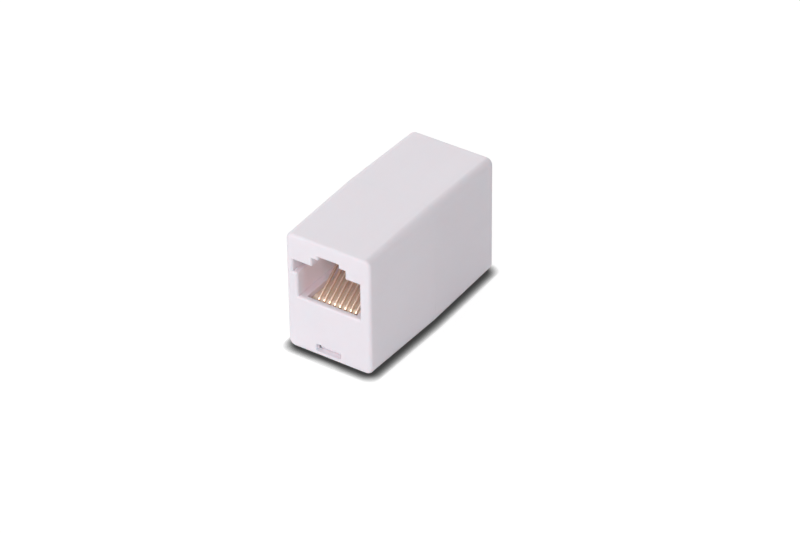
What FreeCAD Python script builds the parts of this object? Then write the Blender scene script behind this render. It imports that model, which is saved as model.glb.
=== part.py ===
import FreeCAD, Part
import os
import re
import Sketcher
from FreeCAD import Placement, Rotation, Vector

# Inline coupler for 8-way modular plugs: two like half shells that snap together, two contact carriers,
# sixteen gilt contacts and eight short leads. Millimetres, +Z up. The origin is under the middle of
# the length, and the front port looks along -Y. The rear half is the front half turned over about X.

doc = FreeCAD.newDocument("InlineCoupler")

# Driving sizes, in millimetres and degrees. Heights in a half shell count from the lower edge of its
# end face.
SIZES = {
    # outside of the housing
    "bodyLength": 35.5,        # over both end faces
    "endWidth": 16.0,
    "endHeight": 21.75,
    "draftAngle": 1.2,         # every outer wall leans in from the mid-length joint to the end face
    "cornerRadius": 1.6,       # long edges, at the joint
    "faceRadius": 0.6,         # round between the end face and the walls
    "seamRadius": 0.02,        # softened outer edge of the joint
    "mouthRadius": 0.45,       # softened front edges of the port
    # walls
    "wallThickness": 1.17,
    "frontWall": 0.9,
    "stopThickness": 1.0,      # wall behind the port, with the comb
    "innerRadius": 0.8,
    "cutPast": 0.2,            # how far a cut runs past what it opens
    "rootDepth": 0.5,          # how far a rib's root is sunk in its wall
    # port for the plug
    "portWidth": 11.84,
    "portHeight": 6.7,
    "portFloor": 10.08,
    "portDepth": 12.4,
    "latchWidth": 6.4,
    "latchHeight": 1.55,
    "tabWidth": 3.94,
    "tabHeight": 0.72,
    "keyWidth": 0.92,
    "keyHeight": 2.23,
    # floor rails and the groove that the carrier slides in
    "railGap": 9.5,
    "grooveWidth": 12.5,
    "ledgeGap": 10.6,
    "ledgeThickness": 1.0,
    # cored spaces beside the latch
    "coreInset": 4.4,
    "coreRoof": 1.3,           # plastic left over the port's ceiling
    # snap: slot, catch and tongue
    "slotWidth": 4.7,
    "slotHeight": 1.35,
    "slotOffset": -0.25,       # middle of the slot, catch and tongue
    "slotRadius": 0.35,
    "slotSoftness": 0.15,      # softened front edges of the slot
    "tongueWidth": 4.4,
    "tongueThickness": 1.05,
    "tipGap": 0.1,             # from the tongue's tip to the other half's front wall
    "hookLength": 1.4,
    "hookTaper": 0.15,
    "catchLength": 1.6,
    "catchRamp": 2.2,
    "snapGap": 0.12,
    # locating lips of the joint
    "lipThickness": 0.7,
    "lipReach": 1.2,
    "lipRoot": 2.6,
    "lipHeight": 4.5,
    "lipStart": 3.0,           # above mid-height
    "lipGap": 0.07,
    # contacts
    "contactPitch": 1.016,
    "contactDiameter": 0.5,
    "bendRadius": 0.9,         # centre line of the bend round the carrier's nose
    "bendDepth": 3.14,         # from the end face to the bend's centre
    "bendDrop": 1.58,          # from the port's floor down to the bend's centre
    "springAngle": 35.0,
    "combPass": 0.7,           # how far the free ends stand past the stop wall's front
    "combSlot": 0.64,
    "combRoom": 0.3,           # over the free ends
    # carrier
    "slideGap": 0.05,
    "wireGap": 0.02,
    "ribRadius": 0.8,
    "carrierGap": 0.6,         # from the carrier's back to the stop wall's front
    "ribRun": 1.3,             # sloping back of each rib's head
    "heelLength": 2.4,
    "heelDrop": 3.0,
    # crimp barrels and leads
    "barrelDiameter": 0.88,
    "barrelLength": 1.5,
    "barrelBore": 1.0,
    "barrelGrip": 0.25,        # length of the wire's tail inside the barrel's closed end
    "leadDiameter": 0.88,
    "coreDiameter": 0.42,
    "coreReach": 0.9,          # bared end, most of it inside the barrel
    "leadGap": 0.1,            # from barrel to insulation, and from carrier to barrel
    "leadRadius": 1.8,
    "leadStraight": 0.3,
}

WAYS = 8

# Sizes that follow from the driving ones
WORKED = {
    "halfLength": "bodyLength / 2",
    "draftDrop": "halfLength * tan(draftAngle * 1 deg)",
    "midWidth": "endWidth + 2 * draftDrop",
    "midHeight": "endHeight + 2 * draftDrop",
    "innerSide": "midWidth / 2 - wallThickness",
    "innerTop": "midHeight - wallThickness",
    "floorLevel": "draftDrop + portFloor",
    "ceilingLevel": "floorLevel + portHeight",
    "latchLevel": "ceilingLevel + latchHeight",
    "tabLevel": "latchLevel + tabHeight",
    "keyLevel": "ceilingLevel - keyHeight",
    "stopFront": "halfLength - portDepth",
    "stopBack": "stopFront - stopThickness",
    "wallBack": "halfLength - frontWall",
    "bendLevel": "floorLevel - bendDrop",
    "bendPlace": "halfLength - bendDepth",
    "noseRadius": "bendRadius - contactDiameter / 2 - wireGap",
    "railUnder": "bendLevel + noseRadius + slideGap",
    "ledgeTop": "bendLevel - noseRadius - slideGap",
    "ledgeUnder": "ledgeTop - ledgeThickness",
    "carrierBack": "stopFront + carrierGap",
    "heelFront": "carrierBack + heelLength",
    "tailLevel": "bendLevel - bendRadius",
    "legPlace": "bendPlace + bendRadius * sin(springAngle * 1 deg)",
    "legLevel": "bendLevel + bendRadius * cos(springAngle * 1 deg)",
    "tipPlace": "stopFront - combPass",
    "tipLevel": "legLevel + (legPlace - tipPlace) * tan(springAngle * 1 deg)",
    "tailEnd": "carrierBack - leadGap",
    "barrelEnd": "tailEnd - barrelLength",
    "catchTop": "wallThickness + slotHeight",
    "tongueTop": "midHeight - catchTop - snapGap",
    "tongueUnder": "tongueTop - tongueThickness",
    "tongueReach": "wallBack - tipGap",
    "hookBack": "tongueReach - hookLength",
    "catchFace": "hookBack - snapGap",
    "hookTop": "midHeight - wallThickness - snapGap",
    "lipOuter": "innerSide - lipGap",
}

sheet = doc.addObject("Spreadsheet::Sheet", "Sizes")
for row, (name, value) in enumerate(SIZES.items(), start=1):
    sheet.set(f"A{row}", name)
    sheet.set(f"B{row}", str(value))
    sheet.setAlias(f"B{row}", name)
doc.recompute()


def expression(text):
    """The text with each size's name written as its cell, and each worked size written out."""
    def swap(match):
        word = match.group(0)
        if word in SIZES:
            return "Sizes." + word
        if word in WORKED:
            return "(" + expression(WORKED[word]) + ")"
        return word
    return re.sub(r"[A-Za-z]+", swap, text)


def number(text):
    """The present value of an expression."""
    value = sheet.evalExpression(expression(text))
    return float(getattr(value, "Value", value))


def bind(thing, path, text):
    thing.setExpression(path, expression(text))


def newBody(label, turned=False):
    """An empty body; a turned one belongs to the rear half."""
    body = doc.addObject("PartDesign::Body", label)
    body.Label = label
    if turned:
        body.Placement = Placement(Vector(0, 0, number("midHeight")), Rotation(Vector(1, 0, 0), 180))
        bind(body, "Placement.Base.z", "midHeight")
    return body


# Sketch planes: XZ sketches lie at a depth in front of the joint, YZ sketches at a place across the width.
def newSketch(body, name, role, offset):
    sketch = body.newObject("Sketcher::SketchObject", body.Name + "_" + name)
    plane = next(item for item in body.Origin.OriginFeatures if item.Role == role)
    sketch.AttachmentSupport = (plane, [""])
    sketch.MapMode = "FlatFace"
    bind(sketch, "AttachmentOffset.Base.z", offset)
    return sketch


def pin(sketch, edge, end, across, up):
    """Holds one end of an edge at a place given by two expressions."""
    for kind, text in (("DistanceX", across), ("DistanceY", up)):
        index = sketch.addConstraint(Sketcher.Constraint(kind, -1, 1, edge, end, number(text)))
        bind(sketch, f"Constraints[{index}]", text)


def addLine(sketch, start, end):
    points = [Vector(number(across), number(up), 0) for across, up in (start, end)]
    return sketch.addGeometry(Part.LineSegment(*points), False)


def addRuns(sketch, runs):
    """Straight edges that stand apart, each held at both ends."""
    edges = [addLine(sketch, *run) for run in runs]
    for edge, (start, end) in zip(edges, runs):
        pin(sketch, edge, 1, *start)
        pin(sketch, edge, 2, *end)
    return edges


def addOutline(sketch, points):
    """A closed outline of straight edges through the points."""
    edges = [addLine(sketch, points[i], points[(i + 1) % len(points)]) for i in range(len(points))]
    for i, edge in enumerate(edges):
        sketch.addConstraint(Sketcher.Constraint("Coincident", edge, 2, edges[(i + 1) % len(edges)], 1))
        pin(sketch, edge, 1, *points[i])


def addArc(sketch, before, after, centre, radius, clockwise=True):
    """An arc from the end of one line to the start of the next one, about a centre."""
    middle = Vector(number(centre[0]), number(centre[1]), 0)
    first, last = [sketch.getPoint(edge, end) - middle for edge, end in ((before, 2), (after, 1))]
    angles = [Vector(1, 0, 0).getAngle(spoke) * (1 if spoke.y >= 0 else -1) for spoke in (first, last)]
    if clockwise:
        angles.reverse()
    arc = sketch.addGeometry(Part.ArcOfCircle(Part.Circle(middle, Vector(0, 0, 1), number(radius)), *angles))
    ends = (2, 1) if clockwise else (1, 2)
    sketch.addConstraint(Sketcher.Constraint("Coincident", arc, ends[0], before, 2))
    sketch.addConstraint(Sketcher.Constraint("Coincident", arc, ends[1], after, 1))
    index = sketch.addConstraint(Sketcher.Constraint("DistanceX", -1, 1, arc, 3, middle.x))
    bind(sketch, f"Constraints[{index}]", centre[0])


def addRounded(sketch, side, low, high, radius, middle="0"):
    """A rectangle with four round corners, as far to each side of its middle."""
    left, right = f"({middle} - ({side}))", f"({middle} + ({side}))"
    inLeft, inRight = f"({left} + {radius})", f"({right} - {radius})"
    inLow, inHigh = f"({low} + {radius})", f"({high} - {radius})"
    runs = [((inLeft, low), (inRight, low)), ((right, inLow), (right, inHigh)),
            ((inRight, high), (inLeft, high)), ((left, inHigh), (left, inLow))]
    centres = [(inRight, inLow), (inRight, inHigh), (inLeft, inHigh), (inLeft, inLow)]
    edges = addRuns(sketch, runs)
    for i, centre in enumerate(centres):
        addArc(sketch, edges[i], edges[(i + 1) % 4], centre, radius, clockwise=False)


def addBox(sketch, left, right, low, high):
    addOutline(sketch, [(left, low), (right, low), (right, high), (left, high)])


def addCircle(sketch, across, up, diameter):
    middle = Vector(number(across), number(up), 0)
    ring = sketch.addGeometry(Part.Circle(middle, Vector(0, 0, 1), number(diameter) / 2))
    pin(sketch, ring, 3, across, up)
    index = sketch.addConstraint(Sketcher.Constraint("Diameter", ring, number(diameter)))
    bind(sketch, f"Constraints[{index}]", diameter)


def extrude(body, kind, name, sketch, length, backwards=False):
    """A Pad or Pocket of a sketch. One that leaves the body's volume as it was has missed it."""
    before = body.Shape.Volume if body.Tip else 0.0
    feature = body.newObject("PartDesign::" + kind, body.Name + "_" + name)
    feature.Profile = sketch
    feature.Reversed = backwards
    bind(feature, "Length", length)
    doc.recompute()
    change = (body.Shape.Volume - before) * (1 if kind == "Pad" else -1)
    if change < 1e-4:
        raise RuntimeError(f"{feature.Name} changed nothing")
    return feature


def repeat(body, name, feature, sketch, copies, pitch):
    """Copies of a feature in a row along the sketch's first axis."""
    row = body.newObject("PartDesign::LinearPattern", body.Name + "_" + name)
    row.Originals = [feature]
    row.Direction = (sketch, ["H_Axis"])
    row.Occurrences = copies
    bind(row, "Length", f"{pitch} * {copies - 1}")
    body.Tip = row
    doc.recompute()
    return row


def edgesWhere(shape, test):
    """The names of the edges whose two ends and middle all pass the test."""
    names = []
    for index, edge in enumerate(shape.Edges, start=1):
        spots = [vertex.Point for vertex in edge.Vertexes]
        spots.append(edge.valueAt((edge.FirstParameter + edge.LastParameter) / 2))
        if all(test(spot) for spot in spots):
            names.append(f"Edge{index}")
    return names


def roundEdges(body, name, test, radius):
    base = body.Tip
    feature = body.newObject("PartDesign::Fillet", body.Name + "_" + name)
    feature.Base = (base, edgesWhere(base.Shape, test))
    bind(feature, "Radius", radius)
    body.Tip = feature
    doc.recompute()


def halfShell(label, turned=False):
    """One half of the housing. Depths in its sketches count from the joint towards the port."""
    body = newBody(label, turned)

    def front(name, depth):
        return newSketch(body, name, "XZ_Plane", depth)

    def side(name, across):
        return newSketch(body, name, "YZ_Plane", across)

    # outside: a rounded block that leans in by the draft angle
    outside = front("outside", "0")
    addRounded(outside, "midWidth / 2", "0", "midHeight", "cornerRadius")
    block = extrude(body, "Pad", "block", outside, "halfLength")
    bind(block, "TaperAngle", "-draftAngle")
    doc.recompute()
    face = -number("halfLength")
    roundEdges(body, "face_round", lambda spot: abs(spot.y - face) < 1e-4, "faceRadius")
    roundEdges(body, "seam_round", lambda spot: abs(spot.y) < 1e-4, "seamRadius")

    # hollow behind the port, and under it from the joint to the front wall
    hollow = front("hollow_outline", "0")
    addRounded(hollow, "innerSide", "wallThickness", "innerTop", "innerRadius")
    extrude(body, "Pocket", "hollow", hollow, "stopBack", backwards=True)
    heelRoom = front("heel_outline", "0")
    addBox(heelRoom, "-innerSide", "innerSide", "ledgeUnder - innerRadius", "railUnder")
    extrude(body, "Pocket", "heel_room", heelRoom, "heelFront", backwards=True)
    cellar = front("cellar_outline", "0")
    addRounded(cellar, "innerSide", "wallThickness", "ledgeUnder", "innerRadius")
    extrude(body, "Pocket", "cellar", cellar, "wallBack", backwards=True)

    # T-shaped groove for the carrier between the floor rails and the ledges
    groove = front("groove_outline", "0")
    addBox(groove, "-grooveWidth / 2", "grooveWidth / 2", "ledgeTop", "railUnder")
    extrude(body, "Pocket", "groove", groove, "wallBack", backwards=True)
    channel = front("channel_outline", "0")
    addBox(channel, "-ledgeGap / 2", "ledgeGap / 2", "ledgeUnder - innerRadius", "railUnder")
    extrude(body, "Pocket", "channel", channel, "wallBack", backwards=True)

    # port: main opening with the latch step over it and the key notch at one side
    opening = front("port_outline", "halfLength")
    half, latch = "portWidth / 2", "latchWidth / 2"
    addOutline(opening, [
        (f"-{half}", "floorLevel"), (half, "floorLevel"), (half, "ceilingLevel"), (latch, "ceilingLevel"),
        (latch, "latchLevel"), (f"-{latch}", "latchLevel"), (f"-{latch}", "ceilingLevel"),
        (f"-{half} - keyWidth", "ceilingLevel"), (f"-{half} - keyWidth", "keyLevel"),
        (f"-{half}", "keyLevel")])
    extrude(body, "Pocket", "port", opening, "portDepth")
    floorGap = front("floor_gap_outline", "stopFront")
    addBox(floorGap, "-railGap / 2", "railGap / 2", "ledgeTop", "floorLevel + cutPast")
    extrude(body, "Pocket", "floor_gap", floorGap, "wallBack - stopFront", backwards=True)
    tab = front("tab_outline", "halfLength")
    addBox(tab, "-tabWidth / 2", "tabWidth / 2", "ceilingLevel", "tabLevel")
    extrude(body, "Pocket", "tab_notch", tab, "frontWall")
    pocket = front("latch_outline", "wallBack")
    addBox(pocket, f"-{latch}", latch, "ceilingLevel", "tabLevel")
    extrude(body, "Pocket", "latch_pocket", pocket, "wallBack - stopFront")

    # cored spaces in the thick roof, one each side of the latch pocket
    cores = front("core_outline", "0")
    for sides in (("coreInset", "innerSide"), ("-innerSide", "-coreInset")):
        addBox(cores, *sides, "ceilingLevel + coreRoof", "innerTop - innerRadius / 2")
    extrude(body, "Pocket", "cores", cores, "wallBack", backwards=True)

    # comb: a slot through the stop wall for the free end of each contact
    slot = front("comb_outline", "0")
    first = f"-contactPitch * {(WAYS - 1) / 2}"
    addBox(slot, f"{first} - combSlot / 2", f"{first} + combSlot / 2", "ledgeTop", "tipLevel + combRoom")
    cut = extrude(body, "Pocket", "comb_slot", slot, "stopFront + cutPast", backwards=True)
    repeat(body, "comb", cut, slot, WAYS, "contactPitch")

    # snap: slot in the end face, catch behind it, tongue over it in the other half
    window = front("slot_outline", "halfLength")
    addRounded(window, "slotWidth / 2", "wallThickness", "catchTop", "slotRadius", "slotOffset")
    extrude(body, "Pocket", "slot", window, "frontWall + cutPast")
    catch = side("catch_outline", "slotOffset - slotWidth / 2")
    root = "wallThickness - rootDepth"
    addOutline(catch, [("-catchFace", root), ("catchLength + catchRamp - catchFace", root),
                       ("catchLength + catchRamp - catchFace", "wallThickness"),
                       ("catchLength - catchFace", "catchTop"), ("-catchFace", "catchTop")])
    extrude(body, "Pad", "catch", catch, "slotWidth")
    tongue = side("tongue_outline", "slotOffset - tongueWidth / 2")
    buried = "(stopBack + stopThickness / 2)"
    addOutline(tongue, [
        (f"-{buried}", "tongueUnder"), ("tongueReach - hookTaper", "tongueUnder"),
        ("tongueReach", "tongueUnder + hookTaper"), ("tongueReach", "tongueTop"),
        ("tongueReach - hookTaper", "hookTop"), ("hookBack", "hookTop"), ("hookBack", "tongueTop"),
        ("-slotHeight", "tongueTop"), ("-slotHeight", "innerTop + rootDepth"),
        (f"-{buried}", "innerTop + rootDepth")])
    extrude(body, "Pad", "tongue", tongue, "tongueWidth")

    # locating lips: thin plates that stand past the joint inside both side walls, each on a short root
    lipLow, lipHigh = "midHeight / 2 + lipStart", "midHeight / 2 + lipStart + lipHeight"
    plates = (("lip", "lipOuter - lipThickness", "lipThickness", "lipReach"),
              ("lip_root", "lipOuter - cutPast", "lipGap + cutPast + rootDepth", "0"))
    for name, inner, thickness, end in plates:
        for hand, across in (("right", inner), ("left", f"-({inner}) - ({thickness})")):
            plate = side(f"{hand}_{name}_outline", across)
            addBox(plate, "-lipRoot", end, lipLow, lipHigh)
            extrude(body, "Pad", f"{hand}_{name}", plate, thickness)

    # softened front edges of the port and the slot
    inside = number("endWidth / 2 - faceRadius - slotSoftness")
    bands = (("slot_round", "draftDrop + faceRadius", "(catchTop + ledgeUnder) / 2", "slotSoftness"),
             ("mouth_round", "(catchTop + ledgeUnder) / 2", "midHeight - draftDrop - faceRadius",
              "mouthRadius"))
    for name, under, over, radius in bands:
        lowest, highest = number(under), number(over)
        roundEdges(body, name, lambda spot: abs(spot.y - face) < 1e-4 and abs(spot.x) < inside
                   and lowest < spot.z < highest, radius)
    return body


def carrier(label, turned=False):
    """The insert that holds eight contacts: a plate with a round nose, ribs between the wires and a heel."""
    body = newBody(label, turned)
    width = "(grooveWidth / 2 - slideGap)"
    reach = f"(contactPitch * {(WAYS - 1) / 2} + contactDiameter / 2 + wireGap)"

    def sideOutline(name, across, radius):
        sketch = newSketch(body, name, "YZ_Plane", across)
        low, high = f"bendLevel - {radius}", f"bendLevel + {radius}"
        return sketch, low, high

    core, low, high = sideOutline("core_outline", f"-{width}", "noseRadius")
    runs = [(("-carrierBack", high), ("-carrierBack", low)), (("-carrierBack", low), ("-bendPlace", low)),
            (("-bendPlace", high), ("-carrierBack", high))]
    edges = addRuns(core, runs)
    addArc(core, edges[1], edges[2], ("-bendPlace", "bendLevel"), "noseRadius")
    extrude(body, "Pad", "core", core, f"{width} * 2")

    heel = newSketch(body, "heel_outline", "XZ_Plane", "carrierBack")
    addBox(heel, f"-{width}", width, "bendLevel - heelDrop", "bendLevel - noseRadius")
    extrude(body, "Pad", "heel", heel, "heelLength - slideGap")
    room = newSketch(body, "wire_room_outline", "XZ_Plane", "carrierBack")
    addBox(room, f"-{reach}", reach, "tailLevel - contactDiameter / 2 - wireGap", "bendLevel - noseRadius")
    extrude(body, "Pocket", "wire_room", room, "heelLength", backwards=True)

    # ribs: one between each two wires, and a wider one outside the last wire on each side
    thin = "(contactPitch - contactDiameter - wireGap * 2)"
    outer = "(railGap / 2 - slideGap)"
    firstRib = f"(contactDiameter / 2 + wireGap - contactPitch * {(WAYS - 1) / 2})"
    ribs = [("left_rib", f"-{outer}", f"{outer} - {reach}"), ("right_rib", reach, f"{outer} - {reach}"),
            ("rib", firstRib, thin)]
    back, flat = "(bendPlace - ribRun)", "bendLevel + noseRadius"
    for name, across, thickness in ribs:
        rib, low, high = sideOutline(name + "_outline", across, "ribRadius")
        runs = [((f"-{back}", flat), ("-carrierBack", flat)),
                (("-carrierBack", flat), ("-carrierBack", low)),
                (("-carrierBack", low), ("-bendPlace", low)), (("-bendPlace", high), (f"-{back}", flat))]
        edges = addRuns(rib, runs)
        addArc(rib, edges[2], edges[3], ("-bendPlace", "bendLevel"), "ribRadius")
        last = extrude(body, "Pad", name, rib, thickness)
    axis = newSketch(body, "rib_row", "XZ_Plane", "0")
    repeat(body, "ribs", last, axis, WAYS - 1, "contactPitch")
    return body


def place(way):
    """Where a way lies across the width; way 1 is at the right of the front port, latch up."""
    return f"contactPitch * {(WAYS + 1) / 2 - way}"


def contact(label, way, turned=False):
    """A round spring wire, bent back over the carrier's nose, with a crimp barrel on its tail."""
    body = newBody(label, turned)
    ring = newSketch(body, "section", "XZ_Plane", "tailEnd - barrelGrip")
    addCircle(ring, place(way), "tailLevel", "contactDiameter")
    path = newSketch(body, "path", "YZ_Plane", place(way))
    runs = [(("barrelGrip - tailEnd", "tailLevel"), ("-bendPlace", "tailLevel")),
            (("-legPlace", "legLevel"), ("-tipPlace", "tipLevel"))]
    edges = addRuns(path, runs)
    addArc(path, edges[0], edges[1], ("-bendPlace", "bendLevel"), "bendRadius")
    wire = body.newObject("PartDesign::AdditivePipe", body.Name + "_wire")
    wire.Profile = ring
    wire.Spine = path
    doc.recompute()
    barrel = newSketch(body, "barrel_outline", "XZ_Plane", "barrelEnd")
    addCircle(barrel, place(way), "tailLevel", "barrelDiameter")
    extrude(body, "Pad", "barrel", barrel, "barrelLength")
    bore = newSketch(body, "bore_outline", "XZ_Plane", "barrelEnd")
    addCircle(bore, place(way), "tailLevel", "coreDiameter + wireGap * 2")
    extrude(body, "Pocket", "bore", bore, "barrelBore", backwards=True)
    return body


def lead(label, way):
    """An insulated lead with bared ends, from a front barrel up to the rear barrel of the same way."""
    body = newBody(label)
    start = "(barrelEnd - leadGap)"
    rise = "(midHeight - 2 * tailLevel)"
    run = f"({start} - leadStraight)"
    spanZ = f"({rise} / 2 - leadRadius)"
    spoke = f"sqrt({run} * {run} + {spanZ} * {spanZ})"
    lean = f"(atan({spanZ} / {run}) + asin(leadRadius / {spoke}))"
    ring = newSketch(body, "section", "XZ_Plane", start)
    addCircle(ring, place(way), "tailLevel", "leadDiameter")
    path = newSketch(body, "path", "YZ_Plane", place(way))
    backY, backZ = f"(leadRadius * sin({lean}))", f"(leadRadius * (1 - cos({lean})))"
    top = "(midHeight - tailLevel)"
    runs = [((f"-{start}", "tailLevel"), (f"-{run}", "tailLevel")),
            ((f"{backY} - {run}", f"tailLevel + {backZ}"), (f"{run} - {backY}", f"{top} - {backZ}")),
            ((run, top), (start, top))]
    edges = addRuns(path, runs)
    addArc(path, edges[0], edges[1], (f"-{run}", "tailLevel + leadRadius"), "leadRadius", clockwise=False)
    addArc(path, edges[1], edges[2], (run, f"{top} - leadRadius"), "leadRadius")
    sleeve = body.newObject("PartDesign::AdditivePipe", body.Name + "_sleeve")
    sleeve.Profile = ring
    sleeve.Spine = path
    doc.recompute()
    bared = (("front_end", "tailLevel", start), ("rear_end", top, f"-{start} - coreReach"))
    for name, level, offset in bared:
        end = newSketch(body, name + "_outline", "XZ_Plane", offset)
        addCircle(end, place(way), level, "coreDiameter")
        extrude(body, "Pad", name, end, "coreReach")
    return body


pieces = [halfShell("front_shell"), halfShell("rear_shell", turned=True),
          carrier("front_carrier"), carrier("rear_carrier", turned=True)]
for way in range(1, WAYS + 1):
    pieces.append(contact(f"front_contact_{way}", way))
    pieces.append(contact(f"rear_contact_{way}", way, turned=True))
    pieces.append(lead(f"lead_{way}", way))
doc.recompute()

for item in doc.Objects:
    if {"Invalid", "Error"} & set(item.State):
        raise RuntimeError(f"{item.Label} failed: {item.State}")
for piece in pieces:
    shape = piece.Shape
    if shape.isNull() or not shape.isValid() or len(shape.Solids) != 1:
        raise RuntimeError(f"{piece.Label} is not one sound solid")

os.makedirs("parts", exist_ok=True)
for piece in pieces:
    piece.Shape.exportStep(f"parts/{piece.Label}.step")
    box = piece.Shape.BoundBox
    print(f"{piece.Label}: {piece.Shape.Volume:.2f} mm3, x {box.XMin:.2f} to {box.XMax:.2f}, "
          f"y {box.YMin:.2f} to {box.YMax:.2f}, z {box.ZMin:.2f} to {box.ZMax:.2f}")
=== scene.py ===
import bpy
import math
import numpy as np
from mathutils import Matrix, Vector


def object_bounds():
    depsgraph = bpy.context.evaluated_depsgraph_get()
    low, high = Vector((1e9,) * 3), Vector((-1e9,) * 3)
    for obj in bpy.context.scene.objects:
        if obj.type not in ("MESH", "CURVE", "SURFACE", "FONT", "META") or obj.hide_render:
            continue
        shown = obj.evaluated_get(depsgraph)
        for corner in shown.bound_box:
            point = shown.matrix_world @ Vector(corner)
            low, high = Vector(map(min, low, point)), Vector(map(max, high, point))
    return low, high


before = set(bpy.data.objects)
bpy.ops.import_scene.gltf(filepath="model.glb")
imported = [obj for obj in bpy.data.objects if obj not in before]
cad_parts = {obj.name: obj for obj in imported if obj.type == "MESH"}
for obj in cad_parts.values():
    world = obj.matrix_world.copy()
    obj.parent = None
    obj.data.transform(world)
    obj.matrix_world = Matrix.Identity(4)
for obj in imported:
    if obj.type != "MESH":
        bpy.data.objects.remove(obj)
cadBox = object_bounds()
print("frame loaded:", len(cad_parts), "nodes")

mm = 0.001
low, high = (np.array(corner) for corner in cadBox)
centre = (low + high) / 2
ways = range(1, 9)


def newMaterial(name):
    material = bpy.data.materials.new(name)
    material.use_nodes = True
    nodes, links = material.node_tree.nodes, material.node_tree.links
    shader = nodes["Principled BSDF"]
    return material, nodes, links, shader


def noisePattern(nodes, links, scale, detail, stretch=(1, 1, 1), distortion=0.0):
    # noise on Object coordinates, in waves a metre; a stretch below 1 draws it out along x, y or z
    where = nodes.new("ShaderNodeTexCoord")
    mapping = nodes.new("ShaderNodeMapping")
    mapping.inputs["Scale"].default_value = stretch
    links.new(where.outputs["Object"], mapping.inputs["Vector"])
    pattern = nodes.new("ShaderNodeTexNoise")
    pattern.inputs["Scale"].default_value = scale
    pattern.inputs["Detail"].default_value = detail
    pattern.inputs["Distortion"].default_value = distortion
    links.new(mapping.outputs["Vector"], pattern.inputs["Vector"])
    return pattern.outputs["Fac"]


def colourRamp(nodes, links, source, stops):
    # stops: (place from 0 to 1, colour) pairs
    ramp = nodes.new("ShaderNodeValToRGB")
    for i, (place, colour) in enumerate(stops):
        element = ramp.color_ramp.elements[i] if i < 2 else ramp.color_ramp.elements.new(place)
        element.position = place
        element.color = (*colour, 1)
    links.new(source, ramp.inputs["Fac"])
    return ramp.outputs["Color"]


def spread(nodes, links, source, lowEnd, highEnd, fromLow=0.0, fromHigh=1.0):
    # carries fromLow..fromHigh to lowEnd..highEnd
    ranger = nodes.new("ShaderNodeMapRange")
    ranger.inputs["From Min"].default_value = fromLow
    ranger.inputs["From Max"].default_value = fromHigh
    ranger.inputs["To Min"].default_value = lowEnd
    ranger.inputs["To Max"].default_value = highEnd
    links.new(source, ranger.inputs["Value"])
    return ranger.outputs["Result"]


def mixedColour(nodes, links, share, first, second):
    # first where share is 0, second where it is 1; each is a colour or a socket
    mix = nodes.new("ShaderNodeMix")
    mix.data_type = "RGBA"
    links.new(share, mix.inputs["Factor"])
    for socket, colour in (("A", first), ("B", second)):
        if isinstance(colour, tuple):
            mix.inputs[socket].default_value = (*colour, 1)
        else:
            links.new(colour, mix.inputs[socket])
    return mix.outputs["Result"]


def maths(nodes, links, operation, first, second=None):
    # one sum; first and second are numbers or sockets
    step = nodes.new("ShaderNodeMath")
    step.operation = operation
    for socket, value in zip(step.inputs, (first, second)):
        if isinstance(value, bpy.types.NodeSocket):
            links.new(value, socket)
        elif value is not None:
            socket.default_value = value
    return step.outputs["Value"]


def fromMiddle(nodes, links):
    # how far a point lies from the part's middle along x, y and z
    where = nodes.new("ShaderNodeTexCoord")
    split = nodes.new("ShaderNodeSeparateXYZ")
    links.new(where.outputs["Object"], split.inputs["Vector"])
    offsets = [maths(nodes, links, "SUBTRACT", split.outputs[axis], float(middle))
               for axis, middle in zip("XYZ", centre)]
    return [maths(nodes, links, "ABSOLUTE", offset) for offset in offsets]


def depthsInside(nodes, links, away):
    # how far inside the part's box a point lies: from its nearest face, and from the nearer port's face
    aside, alongPort, upright = (maths(nodes, links, "SUBTRACT", float(half), distance)
                                 for half, distance in zip((high - low) / 2, away))
    nearest = maths(nodes, links, "MINIMUM", aside, upright)
    return maths(nodes, links, "MINIMUM", nearest, alongPort), alongPort


def bumpFrom(nodes, links, heights):
    # heights: (source, depth in metres) pairs, laid one over the other
    before = None
    for source, depth in heights:
        bump = nodes.new("ShaderNodeBump")
        bump.inputs["Distance"].default_value = depth
        bump.inputs["Strength"].default_value = 1
        links.new(source, bump.inputs["Height"])
        if before:
            links.new(before, bump.inputs["Normal"])
        before = bump.outputs["Normal"]
    return before


housing = {
    "colour": (0.805, 0.765, 0.812),      # cool white ABS
    "shade": (0.785, 0.742, 0.790),       # its faint flow marks
    "flow": (90, 4.0, (1, 0.35, 1), 0.6),  # their waves a metre, detail, stretch and distortion
    "flowRange": (0.3, 0.7),
    "paintedWarmShade": (0.800, 0.670, 0.710),       # painted shade with a painted warm reflection of the contacts, on inner walls near the port
    "paintedInsideFrom": (0.5 * mm, 2.2 * mm),    # depths inside the box over which the painted inner tones come in
    "deep": (0.985, 0.905, 0.955),        # painted light, standing for light through the skin, on walls further in and in the latch notch
    "deepFrom": (3 * mm, 9 * mm),         # depths from the port over which the painted light takes over
    "paintedNotchLightFrom": (6.0 * mm, 7.5 * mm),    # heights from the middle over which the painted light takes over
    "roughness": (0.48, 0.60),
    "gloss": 0.3,                         # a matt skin, so that walls seen flat don't shine white
    "refraction": 1.53,
    "grain": (9000, 3.0),                 # spark-eroded mould grain: waves a metre, detail
    "grainDepth": 0.0022 * mm,
    "ripple": (130, 1.0),                 # slow waviness of the walls
    "rippleDepth": 0.02 * mm,
    "glow": 0.4,                          # share of light that passes through the skin
    "glowReach": (1.0, 0.56, 0.54),       # red, green and blue light's share of glowScale
    "glowScale": 0.3 * mm,
}


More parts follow.
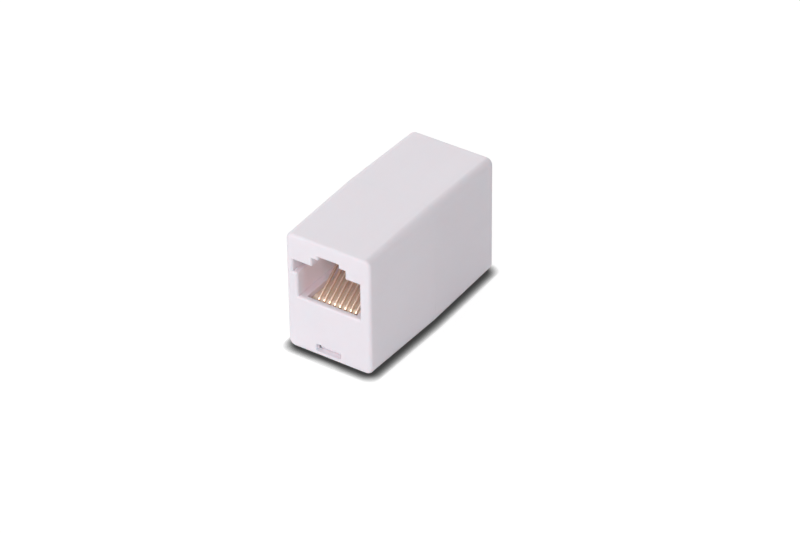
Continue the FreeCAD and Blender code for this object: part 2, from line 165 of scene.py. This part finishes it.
def housingMaterial():
    material, nodes, links, shader = newMaterial("housingPlastic")
    flow = noisePattern(nodes, links, *housing["flow"])
    grain = noisePattern(nodes, links, *housing["grain"])
    ripple = noisePattern(nodes, links, *housing["ripple"])
    outside = colourRamp(nodes, links, flow, zip(housing["flowRange"], (housing["shade"], housing["colour"])))
    away = fromMiddle(nodes, links)
    depth, portDepth = depthsInside(nodes, links, away)
    # where the painted light goes: deeper in from the port, and high up in the latch notch
    paintedLightFarIn = spread(nodes, links, portDepth, 0, 1, *housing["deepFrom"])
    paintedLightInNotch = spread(nodes, links, away[2], 0, 1, *housing["paintedNotchLightFrom"])
    deep = maths(nodes, links, "MAXIMUM", paintedLightFarIn, paintedLightInNotch)
    # painted light and shade inside the port: darker, warmer walls near the mouth, lighter walls further in
    # and in the latch notch
    paintedInsideTone = mixedColour(nodes, links, deep, housing["paintedWarmShade"], housing["deep"])
    paintedInsideShare = spread(nodes, links, depth, 0, 1, *housing["paintedInsideFrom"])
    skin = bumpFrom(nodes, links, [(ripple, housing["rippleDepth"]), (grain, housing["grainDepth"])])
    links.new(mixedColour(nodes, links, paintedInsideShare, outside, paintedInsideTone), shader.inputs["Base Color"])
    links.new(spread(nodes, links, grain, *housing["roughness"]), shader.inputs["Roughness"])
    links.new(skin, shader.inputs["Normal"])
    shader.inputs["IOR"].default_value = housing["refraction"]
    shader.inputs["Specular IOR Level"].default_value = housing["gloss"]
    shader.inputs["Subsurface Weight"].default_value = housing["glow"]
    shader.inputs["Subsurface Radius"].default_value = housing["glowReach"]
    shader.inputs["Subsurface Scale"].default_value = housing["glowScale"]
    return material


carrier = {
    "colour": (0.97, 0.78, 0.64),         # natural, warmer than the housing
    "shade": (0.94, 0.73, 0.59),
    "cloud": (260, 3.0),                  # the shade's waves a metre, detail
    "cloudRange": (0.35, 0.65),
    "roughness": (0.40, 0.52),
    "grain": (7000, 3.0),
    "grainDepth": 0.002 * mm,
    "glow": 0.15,
    "glowScale": 1 * mm,
}


def carrierMaterial():
    material, nodes, links, shader = newMaterial("carrierPlastic")
    cloud = noisePattern(nodes, links, *carrier["cloud"])
    grain = noisePattern(nodes, links, *carrier["grain"])
    tone = colourRamp(nodes, links, cloud, zip(carrier["cloudRange"], (carrier["shade"], carrier["colour"])))
    links.new(tone, shader.inputs["Base Color"])
    links.new(spread(nodes, links, grain, *carrier["roughness"]), shader.inputs["Roughness"])
    links.new(bumpFrom(nodes, links, [(grain, carrier["grainDepth"])]), shader.inputs["Normal"])
    shader.inputs["Subsurface Weight"].default_value = carrier["glow"]
    shader.inputs["Subsurface Scale"].default_value = carrier["glowScale"]
    return material


gilt = {
    "colour": (0.98, 0.83, 0.67),
    "worn": (0.95, 0.77, 0.61),
    "wear": (700, 3.0, (1, 0.5, 1)),      # waves a metre, detail, stretch
    "wearRange": (0.35, 0.62),
    "roughness": (0.15, 0.24),
    "drawn": (5200, 3.0, (1, 0.06, 0.2)),  # drawing lines along the wire
    "drawnDepth": 0.0012 * mm,
}


def giltMaterial():
    material, nodes, links, shader = newMaterial("giltWire")
    wear = noisePattern(nodes, links, *gilt["wear"])
    lines = noisePattern(nodes, links, *gilt["drawn"])
    tone = colourRamp(nodes, links, wear, zip(gilt["wearRange"], (gilt["worn"], gilt["colour"])))
    links.new(tone, shader.inputs["Base Color"])
    links.new(spread(nodes, links, lines, *gilt["roughness"]), shader.inputs["Roughness"])
    links.new(bumpFrom(nodes, links, [(lines, gilt["drawnDepth"])]), shader.inputs["Normal"])
    shader.inputs["Metallic"].default_value = 1
    return material


insulation = {
    "colours": {1: (0.03, 0.10, 0.42), 2: (0.80, 0.22, 0.03), 3: (0.018, 0.018, 0.02), 4: (0.55, 0.03, 0.02),
                5: (0.03, 0.28, 0.08), 6: (0.80, 0.58, 0.04), 7: (0.17, 0.07, 0.03), 8: (0.36, 0.36, 0.37)},
    "dull": 0.8,                          # the skin's darker patches, as a share of its colour
    "skin": (1800, 3.0, (1, 0.4, 0.4)),   # their waves a metre, detail, stretch
    "skinRange": (0.35, 0.65),
    "skinDepth": 0.004 * mm,
    "roughness": (0.28, 0.42),
    "tin": (0.62, 0.60, 0.57),
    "bareFrom": 4.25 * mm,                # the bared ends lie further than this from the joint
}


def insulationMaterial(way):
    material, nodes, links, shader = newMaterial(f"insulation{way}")
    colour = insulation["colours"][way]
    dull = tuple(insulation["dull"] * part for part in colour)
    skin = noisePattern(nodes, links, *insulation["skin"])
    coat = colourRamp(nodes, links, skin, zip(insulation["skinRange"], (dull, colour)))
    along = fromMiddle(nodes, links)[1]
    bare = maths(nodes, links, "GREATER_THAN", along, insulation["bareFrom"])
    links.new(mixedColour(nodes, links, bare, coat, insulation["tin"]), shader.inputs["Base Color"])
    links.new(bare, shader.inputs["Metallic"])
    links.new(spread(nodes, links, skin, *insulation["roughness"]), shader.inputs["Roughness"])
    links.new(bumpFrom(nodes, links, [(skin, insulation["skinDepth"])]), shader.inputs["Normal"])
    return material


def dress(node, material):
    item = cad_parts[node]
    item.data.materials.clear()
    item.data.materials.append(material)


shellPlastic, carrierPlastic, wireGilt = housingMaterial(), carrierMaterial(), giltMaterial()
for end in ("front", "rear"):
    dress(f"{end}_shell", shellPlastic)
    dress(f"{end}_carrier", carrierPlastic)
    for way in ways:
        dress(f"{end}_contact_{way}", wireGilt)
for way in ways:
    dress(f"lead_{way}", insulationMaterial(way))
print("materials given")


studio = {
    "floorSize": 3.0,
    "floorColour": (0.86, 0.86, 0.87),
    "floorRoughness": 0.9,
    "floorGloss": 0.1,
    "paperWhite": 0.8,                    # share of plain white in the floor as it is seen
    "paperStrength": 1.1,
    "shadowReach": 1.8 * mm,              # how near the part the close shadow starts
    "shadowSamples": 16,
    # (how open the floor is there, grey) pairs
    "shadowTones": [(0.36, 0.05), (0.50, 0.08), (0.66, 0.19), (0.80, 0.42), (0.93, 0.75), (0.99, 1.0)],
    "skyColour": (1.0, 1.0, 1.0),
    "skyLight": 0.30,
    # name: (place in metres from the part's middle, width, power)
    "lamps": {"keyLamp": ((-0.45, -0.75, 0.55), 0.7, 4.1),
              "nearLamp": ((0.56, -0.85, 0.42), 0.6, 1.7),
              "portLamp": ((0.46, -0.70, 0.62), 0.6, 3.3),
              "backLamp": ((-0.55, 0.85, 0.5), 0.7, 4.7)},
}


def seenAtOnce(nodes, links):
    # 1 where the camera, a mirror or a clear piece looks at the surface, 0 for the light it sends on
    path = nodes.new("ShaderNodeLightPath")
    glossy, clear = path.outputs["Is Glossy Ray"], path.outputs["Is Transmission Ray"]
    mirrored = maths(nodes, links, "MAXIMUM", glossy, clear)
    return maths(nodes, links, "MAXIMUM", path.outputs["Is Camera Ray"], mirrored)


def addFloor():
    half = studio["floorSize"] / 2
    corners = [(-half, -half, low[2]), (half, -half, low[2]), (half, half, low[2]), (-half, half, low[2])]
    mesh = bpy.data.meshes.new("floor")
    mesh.from_pydata(corners, [], [(0, 1, 2, 3)])
    floor = bpy.data.objects.new("floor", mesh)
    bpy.context.scene.collection.objects.link(floor)
    material, nodes, links, shader = newMaterial("floorPaper")
    shader.inputs["Roughness"].default_value = studio["floorRoughness"]
    shader.inputs["Specular IOR Level"].default_value = studio["floorGloss"]
    near = nodes.new("ShaderNodeAmbientOcclusion")
    near.samples = studio["shadowSamples"]
    near.inputs["Distance"].default_value = studio["shadowReach"]
    greys = [(place, (grey, grey, grey)) for place, grey in studio["shadowTones"]]
    tone = colourRamp(nodes, links, near.outputs["AO"], greys)
    seen = seenAtOnce(nodes, links)
    links.new(mixedColour(nodes, links, seen, studio["floorColour"], tone), shader.inputs["Base Color"])
    white = nodes.new("ShaderNodeEmission")
    white.inputs["Strength"].default_value = studio["paperStrength"]
    links.new(tone, white.inputs["Color"])
    mix = nodes.new("ShaderNodeMixShader")
    links.new(maths(nodes, links, "MULTIPLY", seen, studio["paperWhite"]), mix.inputs["Fac"])
    links.new(shader.outputs["BSDF"], mix.inputs[1])
    links.new(white.outputs["Emission"], mix.inputs[2])
    links.new(mix.outputs["Shader"], nodes["Material Output"].inputs["Surface"])
    mesh.materials.append(material)


def addWorld():
    world = bpy.data.worlds.new("studio")
    world.use_nodes = True
    nodes, links = world.node_tree.nodes, world.node_tree.links
    light = nodes["Background"]
    light.inputs["Color"].default_value = (*studio["skyColour"], 1)
    light.inputs["Strength"].default_value = studio["skyLight"]
    seen = nodes.new("ShaderNodeBackground")
    seen.inputs["Color"].default_value = (1, 1, 1, 1)
    mix = nodes.new("ShaderNodeMixShader")
    links.new(seenAtOnce(nodes, links), mix.inputs["Fac"])
    links.new(light.outputs["Background"], mix.inputs[1])
    links.new(seen.outputs["Background"], mix.inputs[2])
    links.new(mix.outputs["Shader"], nodes["World Output"].inputs["Surface"])
    bpy.context.scene.world = world


def addLamps():
    for name, (place, width, power) in studio["lamps"].items():
        data = bpy.data.lights.new(name, "AREA")
        data.shape = "SQUARE"
        data.size = width
        data.energy = power
        lamp = bpy.data.objects.new(name, data)
        lamp.location = Vector(centre) + Vector(place)
        lamp.rotation_euler = Vector(place).to_track_quat("Z", "Y").to_euler()
        bpy.context.scene.collection.objects.link(lamp)


view = {
    "azimuth": 34.257,                    # degrees round from straight in front of the front port
    "elevation": 34.883,
    "roll": -0.640,
    "lens": 158.3,
    "sensor": 36,
    "distance": 0.5646,
    "aim": (0.00191, -0.00047, -0.00210),    # from the middle of the part
    "clip": (0.01, 20),
}


def addCamera():
    azimuth, elevation, roll = (math.radians(view[key]) for key in ("azimuth", "elevation", "roll"))
    level = math.cos(elevation)
    back = Vector((math.sin(azimuth) * level, -math.cos(azimuth) * level, math.sin(elevation)))
    right = Vector((math.cos(azimuth), math.sin(azimuth), 0))
    up = back.cross(right)
    across = right * math.cos(roll) + up * math.sin(roll)
    upward = up * math.cos(roll) - right * math.sin(roll)
    data = bpy.data.cameras.new("camera")
    data.lens = view["lens"]
    data.sensor_width = view["sensor"]
    data.clip_start, data.clip_end = view["clip"]
    camera = bpy.data.objects.new("camera", data)
    eye = Vector(centre) + Vector(view["aim"]) + back * view["distance"]
    camera.matrix_world = Matrix.Translation(eye) @ Matrix((across, upward, back)).transposed().to_4x4()
    bpy.context.scene.collection.objects.link(camera)
    bpy.context.scene.camera = camera


addFloor()
addWorld()
addLamps()
addCamera()
bpy.context.scene.view_settings.view_transform = "Standard"
print("stage set")
